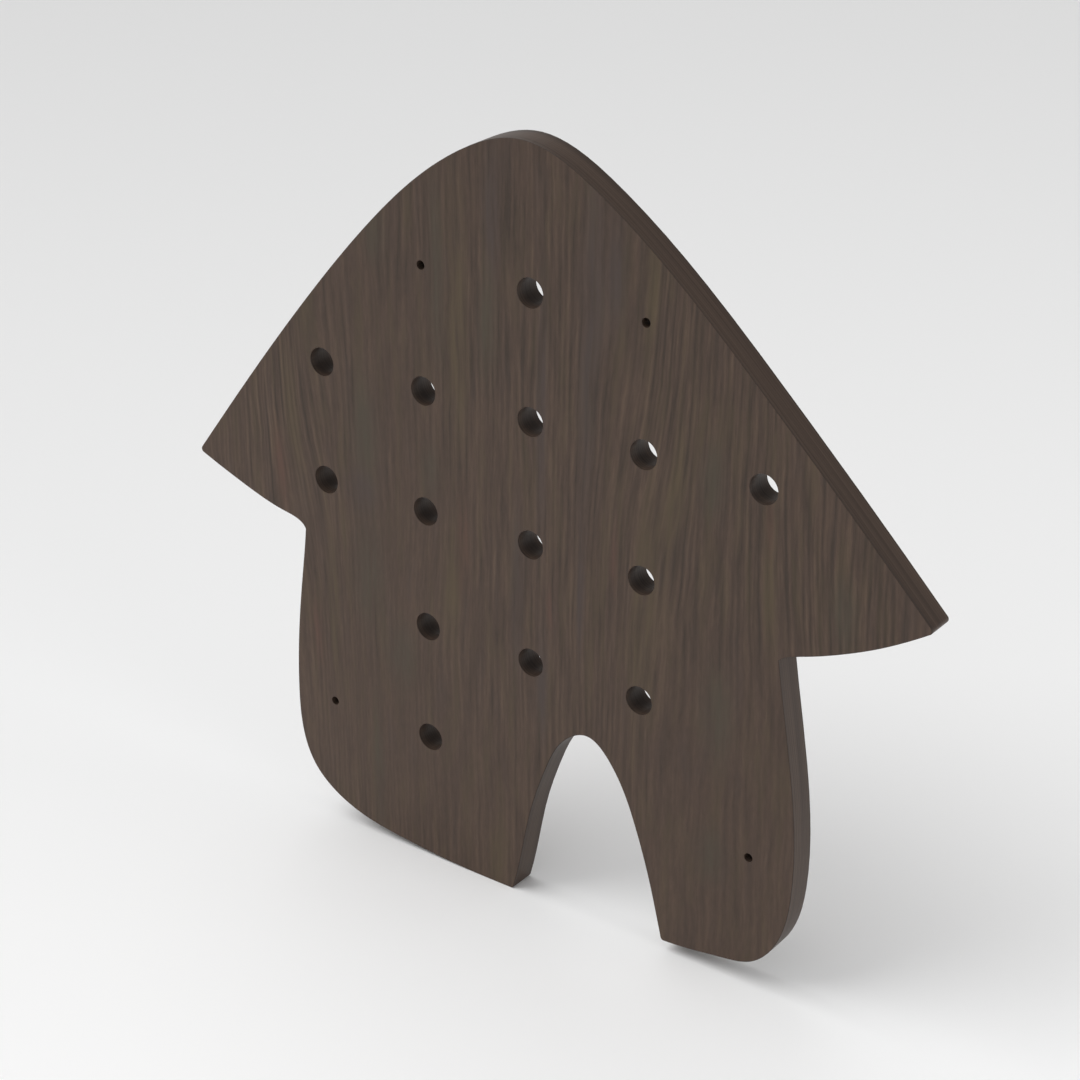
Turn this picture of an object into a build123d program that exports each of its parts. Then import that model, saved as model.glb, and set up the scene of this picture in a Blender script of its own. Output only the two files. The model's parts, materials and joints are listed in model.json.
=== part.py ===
"""Peg board for martial-arts training: a figure-shaped plywood board, drilled on a square grid.

The board is a lay-up of plies that are all cut to one outline and drilled together. Pegs push
into the large holes from the front, and four wall bolts hold the board through the small ones.

Frame: +Z up, +X to the right as seen from the front, +Y into the wall.
Origin: where the axis of the middle peg hole meets the back (wall) face.
"""

import os

from build123d import *

# Drilling grid
pitch = 150  # between neighbouring peg holes, across and up
peg_hole_diameter = 35
fixing_hole_diameter = 11  # clears an M10 wall bolt

# Plywood lay-up
face_veneer_thickness = 1.75
core_ply_thickness = 3.5
core_ply_count = 9

# How far the outline reaches past the outer holes of the grid
left_wing_reach = 205
right_wing_reach = 206.5
peak_rise = 168
left_foot_drop = 169
right_foot_drop = 156
hip_reach = 58

# Rounding
wing_tip_radius = 5  # seen from the front, as are the next two
toe_radius = 4
armpit_radius = 1.5
eased_edge = 1  # the arris all round the front face; the back arris and the hole rims stay sharp

# Columns are counted from the middle one, and rows from that of the middle hole
lowest_and_highest_peg = {-2: (0, 1), -1: (-2, 1), 0: (-1, 2), 1: (-1, 1), 2: (1, 1)}
fixing_crossings = [(-1, 2), (1, 2), (-2, -2), (2, -2)]


def at(column, row, right=0, up=0):
    """A point so far right of and above a crossing of the drilling grid."""
    return Vector(column * pitch + right, row * pitch + up)


def bow(start, end, *heights):
    """Points evenly spaced on the way from start to end, each raised to the left of that way."""
    way = end - start
    left = Vector(-way.Y, way.X).normalized()
    spaces = len(heights) + 1
    return [start + way * (i / spaces) + left * height for i, height in enumerate(heights, 1)]


# Named points of the outline, as seen from the front
left_tip = at(-2, 0, -left_wing_reach, -14)
left_shoulder = at(-1, 2, 52, peak_rise - 29)
peak = at(0, 2, -12, peak_rise)
right_shoulder = at(1, 2, -60.5, peak_rise - 40)
right_tip = at(2, 0, right_wing_reach, 46)
right_armpit = at(2, 0, hip_reach - 31, -43)
right_bend = right_armpit + Vector(38, 17)
right_hip = at(2, -2, hip_reach, 14)
right_heel = at(2, -2, hip_reach - 52, 18.5 - right_foot_drop)
right_toe = at(1, -2, 37, -right_foot_drop)
crotch = at(0, -1, 79.5, -71)
left_toe = at(0, -2, -27.5, -left_foot_drop)
left_heel = at(-2, -2, 22.5 - hip_reach, 62.5 - left_foot_drop)
left_hip = at(-2, -2, -1.5 - hip_reach, 5)
left_armpit = at(-2, 0, 21 - hip_reach, -75)
left_bend = left_armpit + Vector(-35, 15)

with BuildSketch(Plane.XZ) as drilled_board:
    with BuildLine():
        # Both flanks of the roof and its rounded peak
        Spline(
            left_tip, *bow(left_tip, left_shoulder, 13, 22, 23), left_shoulder,
            peak,
            right_shoulder, *bow(right_shoulder, right_tip, 12.5, 11.5, 7), right_tip,
        )
        # Under the right wing, which bends down into the armpit
        Spline(
            right_tip, *bow(right_tip, right_bend, 4, 5.5, 4), right_bend,
            right_armpit + Vector(20, 11), right_armpit + Vector(6.5, 5), right_armpit,
        )
        # Down the right side and along the sole of the right foot
        Spline(
            right_armpit, at(2, -1, hip_reach - 14.5, 5),
            right_hip, at(2, -2, hip_reach - 2, -36), at(2, -2, hip_reach - 17.5, 57 - right_foot_drop),
            right_heel, at(2, -2, -34, 9 - right_foot_drop), at(1, -2, 66, 2 - right_foot_drop), right_toe,
        )
        # The arch between the legs
        Spline(
            right_toe, at(1, -2, 20, 69 - right_foot_drop), at(1, -2, -4.5, -10), at(1, -2, -37.5, 54.5),
            crotch,
            at(0, -2, 50, 65), at(0, -2, 22, 18), at(0, -2, -1, -50.5), at(0, -2, -17, 42 - left_foot_drop),
            left_toe,
        )
        # Along the sole of the left foot and up the left side
        Spline(
            left_toe, at(-1, -2, 39, 1 - left_foot_drop), at(-1, -2, -45.5, 7.5 - left_foot_drop),
            at(-2, -2, 25, 22.5 - left_foot_drop), left_heel,
            left_hip, at(-2, -1, 10 - hip_reach, -7), left_armpit,
        )
        # Under the left wing, which bends down into the armpit
        Spline(
            left_armpit, left_armpit + Vector(-5, 6), left_armpit + Vector(-15.5, 11), left_bend,
            *bow(left_bend, left_tip, 3, 3, 2), left_tip,
        )
    make_face()
    for column, (lowest, highest) in lowest_and_highest_peg.items():
        with Locations(*[at(column, row) for row in range(lowest, highest + 1)]):
            Circle(peg_hole_diameter / 2, mode=Mode.SUBTRACT)
    with Locations(*[at(column, row) for column, row in fixing_crossings]):
        Circle(fixing_hole_diameter / 2, mode=Mode.SUBTRACT)


def upright_edges(sheet, depth, corners):
    """The edges that run through a sheet's thickness at some of the outline's corners."""
    edges = sheet.edges().filter_by(Axis.Y)
    return [edges.sort_by_distance(Vector(corner.X, -depth, corner.Y))[0] for corner in corners]


def cut_ply(depth, thickness):
    """One ply, cut and drilled, with its back face so far in front of the wall."""
    with BuildPart() as ply:
        with BuildSketch(Plane.XZ.offset(depth)):
            add(drilled_board.sketch_local)
        extrude(amount=thickness)
        fillet(upright_edges(ply, depth, [left_tip, right_tip]), wing_tip_radius)
        fillet(upright_edges(ply, depth, [left_toe, right_toe]), toe_radius)
        fillet(upright_edges(ply, depth, [left_armpit, right_armpit]), armpit_radius)
    return ply.part


os.makedirs("parts", exist_ok=True)
core_thickness = core_ply_count * core_ply_thickness

# Front face veneer: the face that shows, with its arris eased
with BuildPart() as front_face_veneer:
    add(cut_ply(face_veneer_thickness + core_thickness, face_veneer_thickness))
    fillet(front_face_veneer.faces().sort_by(Axis.Y)[0].outer_wire().edges(), eased_edge)
front_face_veneer.part.label = "front_face_veneer"
export_step(front_face_veneer.part, "parts/front_face_veneer.step")

# Core plies, numbered from the front, with their grain crosswise and upright by turns
for number in range(1, core_ply_count + 1):
    with BuildPart() as core_ply:
        plies_behind = core_ply_count - number
        add(cut_ply(face_veneer_thickness + plies_behind * core_ply_thickness, core_ply_thickness))
    core_ply.part.label = f"core_ply_{number}"
    export_step(core_ply.part, f"parts/core_ply_{number}.step")

# Back face veneer: the face that lies on the wall
with BuildPart() as back_face_veneer:
    add(cut_ply(0, face_veneer_thickness))
back_face_veneer.part.label = "back_face_veneer"
export_step(back_face_veneer.part, "parts/back_face_veneer.step")
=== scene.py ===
"""The looks of a figure-shaped plywood peg board, put on around its packed plies.

Everything is in metres: +X to the right as seen from the front, +Y into the wall, +Z up. The
origin is where the axis of the middle peg hole meets the back face of the board.
"""

import json
import math

import bpy
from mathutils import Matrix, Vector


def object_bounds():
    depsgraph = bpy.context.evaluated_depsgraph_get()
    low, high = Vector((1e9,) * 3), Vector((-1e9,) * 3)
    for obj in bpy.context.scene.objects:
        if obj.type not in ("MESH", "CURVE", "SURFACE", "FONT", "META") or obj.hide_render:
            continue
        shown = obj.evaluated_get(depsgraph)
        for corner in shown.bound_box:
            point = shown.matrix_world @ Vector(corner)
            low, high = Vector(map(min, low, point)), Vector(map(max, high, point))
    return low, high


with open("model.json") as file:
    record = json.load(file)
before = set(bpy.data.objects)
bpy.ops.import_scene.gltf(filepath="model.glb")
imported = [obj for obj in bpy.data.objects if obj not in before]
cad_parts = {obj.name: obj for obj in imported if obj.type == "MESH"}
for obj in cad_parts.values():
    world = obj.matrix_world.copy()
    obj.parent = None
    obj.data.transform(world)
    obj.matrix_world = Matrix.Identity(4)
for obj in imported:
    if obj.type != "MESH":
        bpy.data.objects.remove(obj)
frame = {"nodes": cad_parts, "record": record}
cad_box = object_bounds()

mount_places = {mount["name"]: Vector(mount["pos_m"]) for mount in frame["record"]["mounts"]}
pitch = (mount_places["peg_hole_c4"] - mount_places["peg_hole_c3"]).length
board_low, board_high = (Vector(corner) for corner in cad_box)
floor_height = board_low.z


def srgb(red, green, blue):
    """A colour as a paint chart gives it, 0 to 255, turned into the light it sends back."""
    shares = [level / 255 for level in (red, green, blue)]
    light = [s / 12.92 if s <= 0.04045 else ((s + 0.055) / 1.055) ** 2.4 for s in shares]
    return (*light, 1)


# ------------------------------------------------------------------ shader values


class Value:
    """A node's output. Sums on a number that varies add maths nodes to its own tree."""

    def __init__(self, nodes, socket):
        self.nodes = nodes
        self.socket = socket

    def maths(self, operation, *others):
        """What a maths node makes of this value, and of the others after it."""
        return self.nodes.maths(operation, self, *others)

    def __add__(self, other):
        return self.nodes.maths("ADD", self, other)

    def __radd__(self, other):
        return self.nodes.maths("ADD", other, self)

    def __sub__(self, other):
        return self.nodes.maths("SUBTRACT", self, other)

    def __rsub__(self, other):
        return self.nodes.maths("SUBTRACT", other, self)

    def __mul__(self, other):
        return self.nodes.maths("MULTIPLY", self, other)

    def __rmul__(self, other):
        return self.nodes.maths("MULTIPLY", other, self)

    def __truediv__(self, other):
        return self.nodes.maths("DIVIDE", self, other)

    def __rtruediv__(self, other):
        return self.nodes.maths("DIVIDE", other, self)

    def __pow__(self, other):
        return self.nodes.maths("POWER", self, other)

    def __rpow__(self, other):
        return self.nodes.maths("POWER", other, self)

    def __abs__(self):
        return self.nodes.maths("ABSOLUTE", self)


class Nodes:
    """Builds the nodes of one tree."""

    def __init__(self, tree):
        self.tree = tree

    def link(self, source, socket):
        """Joins a value to a socket, or sets the socket to a plain number or colour."""
        if isinstance(source, Value):
            self.tree.links.new(source.socket, socket)
        else:
            socket.default_value = source

    def node(self, kind, settings, *inputs, output=0, **named_inputs):
        """Adds a node: its settings first, then its sockets, in order or by name."""
        node = self.tree.nodes.new(kind)
        for setting, value in settings.items():
            setattr(node, setting, value)
        for socket, source in zip(node.inputs, inputs):
            if source is not None:
                self.link(source, socket)
        for name, source in named_inputs.items():
            self.link(source, node.inputs[name.replace("_", " ")])
        return node if output is None else Value(self, node.outputs[output])

    def parts(self, arrow):
        """The three numbers that a place or a direction is made of."""
        apart = self.node("ShaderNodeSeparateXYZ", {}, arrow, output=None)
        return [Value(self, socket) for socket in apart.outputs]

    def maths(self, operation, *numbers):
        return self.node("ShaderNodeMath", {"operation": operation}, *numbers)

    def ramp(self, value, low, high):
        """0 below low, 1 above high, and an even slope between them."""
        return self.node("ShaderNodeMapRange", {"clamp": True}, value, low, high, 0, 1)


MIX_SOCKETS_PASSED = 5  # those for numbers and places, between a Mix node's factor and colours
MEAN_ROOT = 0.67  # about the mean of the square root from 0 to 1


class Finish(Nodes):
    """A material and the means to build its nodes."""

    def __init__(self, name):
        self.material = bpy.data.materials.new(name)
        self.material.use_nodes = True
        super().__init__(self.material.node_tree)
        self.shader = self.tree.nodes["Principled BSDF"]
        self.x, self.y, self.z = self.parts(self.node("ShaderNodeTexCoord", {}, output="Object"))

    def mix(self, share, first, second):
        """A colour that goes from the first to the second as share goes from 0 to 1."""
        passed = [None] * MIX_SOCKETS_PASSED
        settings = {"data_type": "RGBA"}
        return self.node("ShaderNodeMix", settings, share, *passed, first, second, output=2)

    def noise(self, x, y, z, detail=2, roughness=0.5):
        """Smooth noise from 0 to 1, around one half, at a place in space."""
        place = self.node("ShaderNodeCombineXYZ", {}, x, y, z)
        return self.node(
            "ShaderNodeTexNoise", {}, place, Scale=1, Detail=detail, Roughness=roughness,
        )

    def paint(self, color, roughness, **constants):
        self.link(color, self.shader.inputs["Base Color"])
        self.link(roughness, self.shader.inputs["Roughness"])
        for name, value in constants.items():
            self.link(value, self.shader.inputs[name.replace("_", " ")])

    def emboss(self, height, strength, distance):
        """Gives the surface a fine relief from a height that varies over it."""
        bump = self.node(
            "ShaderNodeBump", {}, Strength=strength, Distance=distance, Height=height
        )
        self.link(bump, self.shader.inputs["Normal"])


# ------------------------------------------------------------------ wood finishes

# Where the grain of the front veneer leans: the place of each bend in pitches, how wide and how
# high it is, and how far it has carried the grain to the right by its top
grain_bends = [
    (-2.20, 0.0, 0.40, 1.0, -0.19),
    (1.05, 0.9, 0.60, 1.3, 0.20),
    (2.35, 0.0, 0.60, 1.1, -0.11),
    (-1.0, -0.5, 0.45, 0.5, 0.06),
]

# Tinted streaks in the front veneer: the place of each in pitches, half its width and height
olive_streaks = [
    (-0.70, 1.60, 0.09, 0.90), (-0.75, -0.55, 0.08, 0.40), (-2.28, 0.50, 0.07, 0.50),
    (-2.05, 1.50, 0.08, 0.30), (-2.05, -1.00, 0.07, 0.50), (1.33, 0.70, 0.08, 0.45),
    (1.15, -0.30, 0.10, 0.80), (0.90, 2.20, 0.07, 0.40), (2.10, 0.30, 0.05, 0.50),
    (-0.33, -2.90, 0.06, 0.30),
]
grey_green_streaks = [
    (-1.44, 2.15, 0.08, 0.20), (-0.90, 2.00, 0.06, 0.60), (-0.40, 1.65, 0.08, 0.35),
    (-1.60, 0.50, 0.12, 0.40), (-1.00, 0.35, 0.07, 0.20), (-1.60, -0.70, 0.13, 0.40),
    (-1.25, -1.35, 0.13, 0.25), (-1.55, -2.50, 0.05, 0.55), (1.60, 0.95, 0.09, 0.25),
    (1.70, -0.90, 0.10, 0.35), (1.70, -2.10, 0.09, 0.20), (2.70, 0.20, 0.08, 0.25),
]
violet_streaks = [
    (-0.35, 2.55, 0.07, 0.45), (0.50, 1.70, 0.07, 1.20), (0.10, 1.10, 0.04, 0.90),
    (-0.12, -0.45, 0.05, 0.60), (0.12, -1.20, 0.05, 0.40), (0.50, -0.30, 0.03, 0.40),
    (0.66, 2.30, 0.05, 0.35), (-1.65, 0.00, 0.12, 0.15),
]
rosy_streaks = [
    (-2.48, 0.00, 0.05, 0.30), (-0.65, -0.15, 0.05, 0.40), (-2.30, -1.40, 0.06, 0.25),
    (0.83, 0.05, 0.03, 0.25), (0.20, -0.48, 0.03, 0.15), (2.10, 0.75, 0.03, 0.20),
]

# Where the figure of the front veneer is calm: the place of each patch, half its width and height
calm_patches = [
    (-1.45, -0.20, 0.45, 1.70), (1.80, -1.90, 0.60, 1.20), (-1.20, -2.20, 0.90, 0.60),
]

# Where it is bold, in the same way
bold_patches = [
    (-2.85, 0.00, 0.60, 0.70), (-2.20, 0.50, 0.35, 1.00), (0.00, 1.60, 0.40, 0.80),
    (1.20, 1.30, 0.50, 0.90), (2.30, 0.60, 0.80, 0.90), (2.60, 0.30, 0.50, 0.50),
]

# Stained face and edges
face_brown = srgb(74, 58, 48)
dark_grain = srgb(57, 45, 36)
light_grain = srgb(102, 83, 67)
olive_stain = srgb(81, 69, 49)
grey_green_stain = srgb(69, 63, 51)
violet_stain = srgb(67, 57, 55)
rosy_stain = srgb(88, 62, 52)
edge_brown = srgb(86, 71, 61)
edge_dark = srgb(56, 45, 39)
glue_brown = srgb(48, 39, 33)

# Layers of the upright grain: marks per metre across the board and along it, and their strength
hair_across, hair_along, hair_strength = 430, 65, 0.7
pore_across, pore_along, pore_strength = 180, 12, 1.35
band_across, band_along, band_strength = 55, 4, 0.85
tint_across, tint_along = 60, 8
waver_across, waver_along, waver_width = 16, 9, 0.008
drift_across, drift_along = 13, 1.7
fading_across, fading_along = 16, 7
coarse_rings = {"ring_width": 0.0105, "wander": 0.034, "strength": 0.42}
fine_rings = {"ring_width": 0.0066, "wander": 0.024, "strength": 0.24}

# How much darker the veneer is made: by the metre to the right and upwards, as painted shade, and
# all over
painted_shade_rightwards, painted_shade_upwards, darker = 0.15, 0.2, 0.05

# How much more the growth rings and the whole figure show where the grain is bold, and how much
# less where it is calm
bold_rings, bold_figure, calm_figure = 0.45, 0.2, 0.45

# How far each stain covers what is under it
olive_cover, violet_cover, streak_cover = 0.5, 0.25, 0.7
thin_edge_cover, arris_cover, glue_cover = 0.4, 0.9, 0.5

# The clear coat on the faces and on the edge, and the relief of the fibres under it
face_roughness, face_gloss = 0.45, 0.3
edge_roughness, edge_gloss = 0.43, 0.2
relief_strength, relief_depth = 0.15, 0.0004

# Layers of the board's edge: marks per metre along it and through it, octaves and strength
edge_marks = [(5, 420, 3, 1.3), (3, 110, 1, 1.6), (300, 600, 2, 0.3)]
# How much darker the edge is painted where it faces slantwise, as painted shade
slant_shade_strength = 0.34
darkest_tone, lightest_tone = -0.85, 0.55

# The lay-up of the board, taken from its plies
veneer_thickness = frame["nodes"]["back_face_veneer"].dimensions.y
ply_thickness = frame["nodes"]["core_ply_1"].dimensions.y
glue_line_width = 0.0004


def lean_of_grain(finish):
    """How far the bends have carried the grain to the right at each place, in metres."""
    carried = 0
    for column, row, width, height, shift in grain_bends:
        sideways = (finish.x - column * pitch) / (width * pitch)
        upward = (finish.z - row * pitch) / (height * pitch)
        nearness = 1 / (1 + sideways * sideways) ** 2
        rise = upward / (1 + upward * upward) ** 0.5
        carried = nearness * rise * (shift * pitch) + carried
    return carried


def streak_mask(finish, across, streaks):
    """1 along the middle of each streak, and fading to 0 around it."""
    total = 0
    for column, row, half_width, half_height in streaks:
        sideways = (across - column * pitch) / (half_width * pitch)
        upward = (finish.z - row * pitch) / (half_height * pitch)
        total = 0.5 ** (sideways * sideways + upward * upward) + total
    return total


def facing(finish):
    """The three parts of the way that the surface faces."""
    return finish.parts(finish.node("ShaderNodeNewGeometry", {}, output="Normal"))


def edge_color(finish):
    """The board's edge: layers along each ply, glue between the plies, and painted shade that
    makes it darker where it faces slantwise, up or down."""
    sideways, _, upward = facing(finish)
    # Painted shade: slantwise faces, such as the roof's flanks, are made darker
    tone = abs(sideways * upward) * (-2 * slant_shade_strength)
    for along, through, octaves, strength in edge_marks:
        marks = finish.noise(finish.x * along, finish.y * through, finish.z * along, octaves)
        tone = (marks - 0.5) * strength + tone
    color = finish.mix(finish.ramp(tone, darkest_tone, lightest_tone), edge_dark, edge_brown)
    into_ply = finish.y + veneer_thickness
    off_glue = abs(into_ply - (into_ply + ply_thickness / 2).maths("SNAP", ply_thickness))
    glue = finish.ramp(off_glue, glue_line_width, glue_line_width / 2)
    return finish.mix(glue * glue_cover, color, glue_brown)


def growth_rings(finish, across, seed, ring_width, wander, strength):
    """A narrow dark line at the end of each growth ring. The lines wander, crowd together and
    fade out along the board."""
    drift = finish.noise(across * drift_across, seed, finish.z * drift_along)
    ring = (across + (drift - 0.5) * wander) / ring_width
    fading = finish.noise(across * fading_across, seed + 4, finish.z * fading_along, 1)
    off_line = ring.maths("PINGPONG", 0.5) * 2
    return (off_line ** 0.5 - MEAN_ROOT) * finish.ramp(fading, 0.3, 0.6) * strength


def stain_streaks(finish, across, color, ragged):
    """The colour with the tinted streaks laid over it, as broken up as the grain under them."""
    for streaks, stain in (
        (olive_streaks, olive_stain), (grey_green_streaks, grey_green_stain),
        (violet_streaks, violet_stain), (rosy_streaks, rosy_stain),
    ):
        cover = finish.ramp(streak_mask(finish, across, streaks), 0.1, 0.9) * ragged
        color = finish.mix(cover * streak_cover, color, stain)
    return color


def veneer(name, seed, front):
    """Dark-stained veneer with upright grain, under a satin clear coat. Its thin edge and the
    arris around it are darker."""
    finish = Finish(name)
    waver = finish.noise(finish.x * waver_across, seed, finish.z * waver_along, 3)
    across = finish.x + (waver - 0.5) * waver_width
    if front:
        across = across - lean_of_grain(finish)
    hair = finish.noise(across * hair_across, seed, finish.z * hair_along, 3, 0.6)
    pores = finish.noise(across * pore_across, seed, finish.z * pore_along)
    bands = finish.noise(across * band_across, seed, finish.z * band_along)
    rings = (
        growth_rings(finish, across, seed + 1, **coarse_rings)
        + growth_rings(finish, across, seed + 2, **fine_rings)
    )
    figure = (pores - 0.5) * pore_strength + (bands - 0.5) * band_strength + rings
    if front:
        calm = streak_mask(finish, finish.x, calm_patches)
        bold = streak_mask(finish, finish.x, bold_patches)
        figure = figure + rings * bold * bold_rings
        figure = figure * (1 + bold * bold_figure - calm * calm_figure)
    tone = figure + (hair - 0.5) * hair_strength
    # Painted shade: the veneer is made darker to the right and upwards
    tone = tone - finish.x * painted_shade_rightwards - finish.z * painted_shade_upwards - darker
    color = finish.mix(finish.ramp(tone, 0, 1), face_brown, light_grain)
    color = finish.mix(finish.ramp(tone, 0, -0.55), color, dark_grain)
    tint = finish.noise(across * tint_across, seed + 9, finish.z * tint_along, 3, 0.6)
    color = finish.mix(finish.ramp(tint, 0.50, 0.75) * olive_cover, color, olive_stain)
    color = finish.mix(finish.ramp(tint, 0.45, 0.20) * violet_cover, color, violet_stain)
    if front:
        color = stain_streaks(finish, across, color, finish.ramp(pores + bands + tint, 1.1, 1.7))
    through = finish.ramp(abs(facing(finish)[1]), 0.97, 0.5)
    thin_edge = finish.mix(thin_edge_cover, edge_color(finish), glue_brown)
    color = finish.mix(through, color, thin_edge)
    arris = through * (1 - through) * 4
    color = finish.mix(arris * arris_cover, color, glue_brown)
    finish.paint(color, face_roughness, Specular_IOR_Level=face_gloss)
    finish.emboss(hair, relief_strength, relief_depth)
    return finish.material


def ply_edge(name):
    """Dark-stained core veneer, which shows only at the board's edge and in its holes."""
    finish = Finish(name)
    finish.paint(edge_color(finish), edge_roughness, Specular_IOR_Level=edge_gloss)
    return finish.material


front_finish = veneer("stained_front_veneer", seed=3.1, front=True)
back_finish = veneer("stained_back_veneer", seed=11.7, front=False)
ply_finishes = {slot: ply_edge("stained_" + slot) for slot in ("cross_ply", "long_ply")}


def put_on(node, material):
    slots = frame["nodes"][node].data.materials
    slots.clear()
    slots.append(material)


put_on("front_face_veneer", front_finish)
put_on("back_face_veneer", back_finish)
for subpart in frame["record"]["subparts"]:
    if subpart["material_slot"] in ply_finishes:
        put_on(subpart["node"], ply_finishes[subpart["material_slot"]])


# ------------------------------------------------------------------ stage, light and camera

floor_size = 60  # metres
heading = math.radians(36.21)  # how far the camera is turned to the left of straight on
near_white = (0.97, 0.97, 0.97, 1)  # the paper towards the camera
# Painted shade: the paper is painted this grey far behind the board, where the light has fallen off
far_painted_shade_grey = (0.64, 0.64, 0.64, 1)  # and far behind the board
near_end, halving_way = -0.5, 2.16  # metres along the camera's heading
room_light = 0.324  # what the pale room around sends onto the board
far_backdrop, near_backdrop = 0.71, 1.0  # how bright the backdrop looks above each end of the floor
reflected_top = 0.3  # how high up the reflected backdrop ends, as the sine of that angle
lamp_width = 50  # degrees across the sky


def light_falloff_along_heading(x, y):
    """How much of the near light is left at a place on the floor: it falls off along the camera's
    heading. It paints the paper greyer, as painted shade, and dims the backdrop.
    """
    ahead = y * math.cos(heading) - x * math.sin(heading)
    return (0.5 ** ((ahead - near_end) / halving_way)).maths("MINIMUM", 1)


bpy.ops.object.select_all(action="DESELECT")
bpy.ops.mesh.primitive_plane_add(size=floor_size, location=(0, 0, floor_height))
floor = bpy.context.object
floor.name = "studio_floor"
paper = Finish("studio_floor_paper")
# Painted shade: the paper is painted greyer away from the camera
paper_color = paper.mix(light_falloff_along_heading(paper.x, paper.y), far_painted_shade_grey, near_white)
paper.paint(paper_color, 0.9, Specular_IOR_Level=0)
floor.data.materials.append(paper.material)

world = bpy.data.worlds.new("studio_light")
bpy.context.scene.world = world
world.use_nodes = True
room = Nodes(world.node_tree)
ray = room.node("ShaderNodeLightPath", {}, output=None)
camera_ray, glossy_ray, clear_ray = (
    Value(room, ray.outputs[f"Is {kind} Ray"]) for kind in ("Camera", "Glossy", "Transmission")
)
east, north, upward = room.parts(room.node("ShaderNodeTexCoord", {}, output="Generated"))
low = room.ramp(upward, reflected_top, reflected_top / 2)
shows = camera_ray.maths("MAXIMUM", glossy_ray.maths("MAXIMUM", clear_ray) * low)
at_floor_end = light_falloff_along_heading(east * (floor_size / 2), north * (floor_size / 2))
backdrop = at_floor_end * (near_backdrop - far_backdrop) + far_backdrop
background = world.node_tree.nodes["Background"]
background.inputs["Color"].default_value = (1, 1, 1, 1)
room.link(shows * (backdrop - room_light) + room_light, background.inputs["Strength"])


def far_lamp(name, turn, height, strength):
    """A wide soft lamp far away, turned to the left of the board's front and raised, in degrees.
    Its strength is the share of its light that white paper square on to it sends back."""
    lamp = bpy.data.lights.new(name, "SUN")
    lamp.angle = math.radians(lamp_width)
    lamp.energy = strength * math.pi
    holder = bpy.data.objects.new(name, lamp)
    bpy.context.scene.collection.objects.link(holder)
    holder.rotation_euler = (math.radians(90 - height), 0, math.radians(-turn))


far_lamp("high_left_lamp", 60, 50, 0.528)
far_lamp("high_front_lamp", 0, 50, 0.104)
far_lamp("high_back_lamp", 120, 50, 0.165)
far_lamp("low_right_lamp", -90, 20, 0.194)

lens = bpy.data.cameras.new("camera")
lens.sensor_width, lens.lens = 36, 84.82  # millimetres
camera = bpy.data.objects.new("camera", lens)
bpy.context.scene.collection.objects.link(camera)
camera.location = (1.5254, -2.1003, 1.2486)
camera.rotation_euler = (math.radians(64.18), 0, heading)  # 25.82 degrees down from level
bpy.context.scene.camera = camera
bpy.context.scene.view_settings.view_transform = "Standard"
